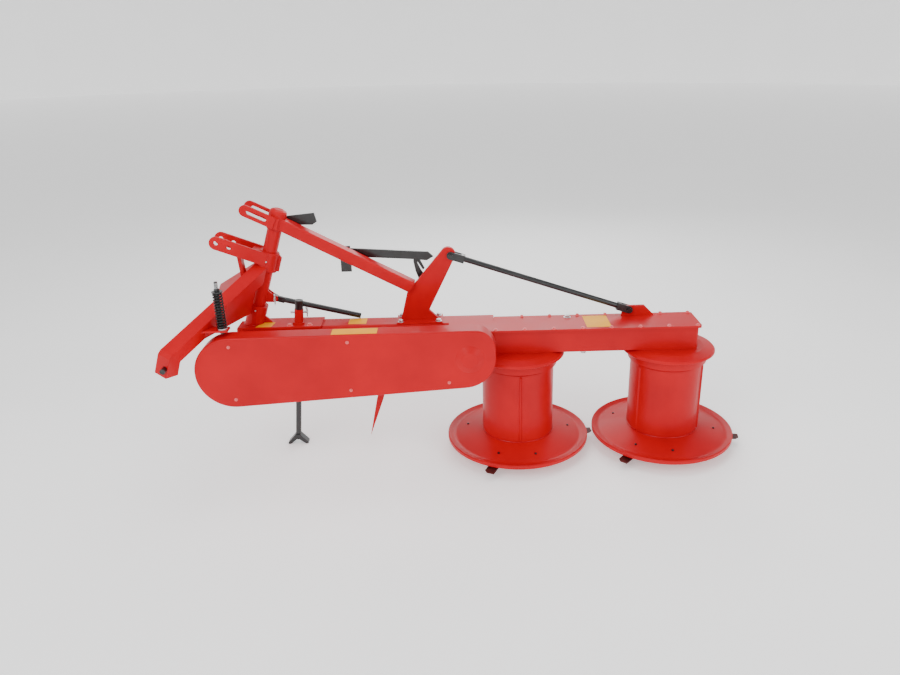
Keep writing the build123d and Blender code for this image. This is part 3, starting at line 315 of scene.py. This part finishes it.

# Weld beads round the drums' feet, the column and its boss, and the two shaft housings
COLUMN_WAY = Vector((math.sin(COLUMN_LEAN), 0, math.cos(COLUMN_LEAN)))
DRUM_WELD_Z, BOSS_WELD_HEIGHT, HEAD_WELD_HEIGHT, DRIVEN_WELD_Y = 92.5, 256, 438, -74


def on_column(height):
    return at(*COLUMN_FOOT) + COLUMN_WAY * height / 1000


for side, x in (("inner", 0), ("outer", DRUM_PITCH)):
    bm = bmesh.new()
    ring(bm, stood(at(x, 0, DRUM_WELD_Z), UP), radius=158, wire=3.5, steps=96)
    piece(side + "_drum_weld", bm, WELD_ENAMEL, side + "_cutter")
bm = bmesh.new()
ring(bm, stood(at(*COLUMN_FOOT), UP), radius=42, wire=3.5)
ring(bm, stood(on_column(HEAD_WELD_HEIGHT), COLUMN_WAY), radius=31, wire=3.5)
ring(bm, stood(at(DRIVING_SHAFT[0], BEAM_BACK_Y - 1, DRIVING_SHAFT[1]), BACK), radius=39, wire=3)
ring(bm, stood(at(DRIVEN_SHAFT[0], DRIVEN_WELD_Y, DRIVEN_SHAFT[1]), BACK), radius=47, wire=2.5)
piece("frame_welds", bm, WELD_ENAMEL, "frame")
bm = bmesh.new()
ring(bm, stood(on_column(BOSS_WELD_HEIGHT), COLUMN_WAY), radius=42, wire=3)
piece("boss_weld", bm, WELD_ENAMEL, "headstock")

# Coil of the spring, wound from one ring of wire carried up its screw
SPRING_PLACE, SPRING_LOW, SPRING_HIGH = (-1195, -205), 676, 829
COIL_RADIUS, WIRE_RADIUS, TURNS, TURN_STEPS = 16.5, 3.4, 13, 26
SEAT_RADIUS, SEAT_THICK = 19.5, 5
THREAD_LOW, THREAD_HIGH, THREAD_PITCH, THREAD_RADIUS = 846, 870, 3, 6.9
bm = bmesh.new()
start = Matrix.Translation(at(SPRING_PLACE[0] + COIL_RADIUS, SPRING_PLACE[1], SPRING_LOW + WIRE_RADIUS))
loop = bmesh.ops.create_circle(bm, cap_ends=True, segments=10, radius=WIRE_RADIUS / 1000,
                               matrix=start @ Matrix.Rotation(math.pi / 2, 4, "X"))["verts"]
section = list({f for v in loop for f in v.link_faces})
rise = (SPRING_HIGH - SPRING_LOW - 2 * WIRE_RADIUS) / 1000 / (TURNS * TURN_STEPS)
bmesh.ops.spin(bm, geom=section, cent=at(*SPRING_PLACE, 0), axis=UP, dvec=(0, 0, rise),
               angle=2 * math.pi * TURNS, steps=TURNS * TURN_STEPS)
coil = piece("spring_coil", bm, SPRING_WIRE, "headstock")
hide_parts("spring")
bm = bmesh.new()
placed = stood(at(*SPRING_PLACE, 0), UP)
disc_of(bm, placed, SEAT_RADIUS, SPRING_LOW, SPRING_LOW + SEAT_THICK, edge=1)
for height in range(THREAD_LOW, THREAD_HIGH, THREAD_PITCH):
    ring(bm, placed @ Matrix.Translation((0, 0, height / 1000)), THREAD_RADIUS, wire=1.0, steps=20, segments=6)
piece("spring_fittings", bm, ZINC_PLATE, "headstock")


# Linch pins and grease nipples
def linch(bm, place, reach):
    """Straight pin with a sprung ring through its head."""
    placed = stood(place, UP)
    disc_of(bm, placed, 2.6, -reach, reach, 14, 0.8)
    disc_of(bm, placed, 4.6, reach - 9, reach - 1, 16, 1)
    ring(bm, stood(place + Vector((0.004, -0.013, reach / 1000 - 0.018)), ALONG), 13, 1.6, 36, 8)


def nipple(bm, place, axis):
    placed = stood(place, axis)
    disc_of(bm, placed, 4.5, -1, 3, 6, 0.5)
    disc_of(bm, placed, 2.4, 3, 8, 14, 0.8)


BAR_REACH, BAR_LENGTH, BAR_RADIUS, COLUMN_NIPPLES, BOSS_RADIUS = 71, 75, 5, (300, 72), 42
bm = bmesh.new()
linch(bm, at(*STRUT_PIN), reach=24)
linch(bm, at(*STAND_PIN), reach=22)
disc_of(bm, stood(at(STAND_PIN[0] - BAR_REACH, *STAND_PIN[1:]), ALONG), BAR_RADIUS, 0, BAR_LENGTH, 20, 1)
nipple(bm, at(DRIVEN_SHAFT[0], -100, DRIVEN_SHAFT[1] + 38), UP)
nipple(bm, at(DRIVING_SHAFT[0], 0, DRIVING_SHAFT[1] + 38), UP)
piece("frame_pins", bm, ZINC_PLATE, "frame")
bm = bmesh.new()
for height in COLUMN_NIPPLES:
    nipple(bm, on_column(height) + Vector((0, -BOSS_RADIUS / 1000, 0)), NEAR)
piece("headstock_nipples", bm, ZINC_PLATE, "headstock")

# Pale floor with a wall all round, and soft studio light
FLOOR_REACH, WALL_RADIUS, WALL_HEIGHT, SKY_STRENGTH, LAMP_AIM = 30, 26, 16, 0.45, Vector((0, 0, 0.4))
bm = bmesh.new()
bmesh.ops.create_grid(bm, x_segments=2, y_segments=2, size=FLOOR_REACH)
bmesh.ops.create_cone(bm, cap_ends=False, segments=48, radius1=WALL_RADIUS, radius2=WALL_RADIUS,
                      depth=WALL_HEIGHT, matrix=Matrix.Translation((0, 0, WALL_HEIGHT / 2)))
floor_mesh = bpy.data.meshes.new("floor")
bm.to_mesh(floor_mesh)
bm.free()
floor_mesh.materials.append(FLOOR_PAINT)
floor = bpy.data.objects.new("floor", floor_mesh)
bpy.context.scene.collection.objects.link(floor)
world = bpy.data.worlds.new("studio")
world.use_nodes = True
world.node_tree.nodes["Background"].inputs["Color"].default_value = linear("FFFFFF")
world.node_tree.nodes["Background"].inputs["Strength"].default_value = SKY_STRENGTH
bpy.context.scene.world = world
# Columns: name, place in metres, size in metres, watts
for name, place, size, power in (("key", (-2.2, -3.2, 3.6), 2.6, 110), ("fill", (3.0, -2.6, 2.4), 2.4, 50),
                                 ("top", (0.2, 0.3, 4.2), 3.0, 80), ("rim", (0.5, 3.4, 2.6), 2.2, 50)):
    light = bpy.data.lights.new(name, "AREA")
    light.size = size
    light.energy = power
    lamp = bpy.data.objects.new(name, light)
    bpy.context.scene.collection.objects.link(lamp)
    lamp.location = place
    lamp.rotation_euler = (LAMP_AIM - Vector(place)).to_track_quat("-Z", "Y").to_euler()
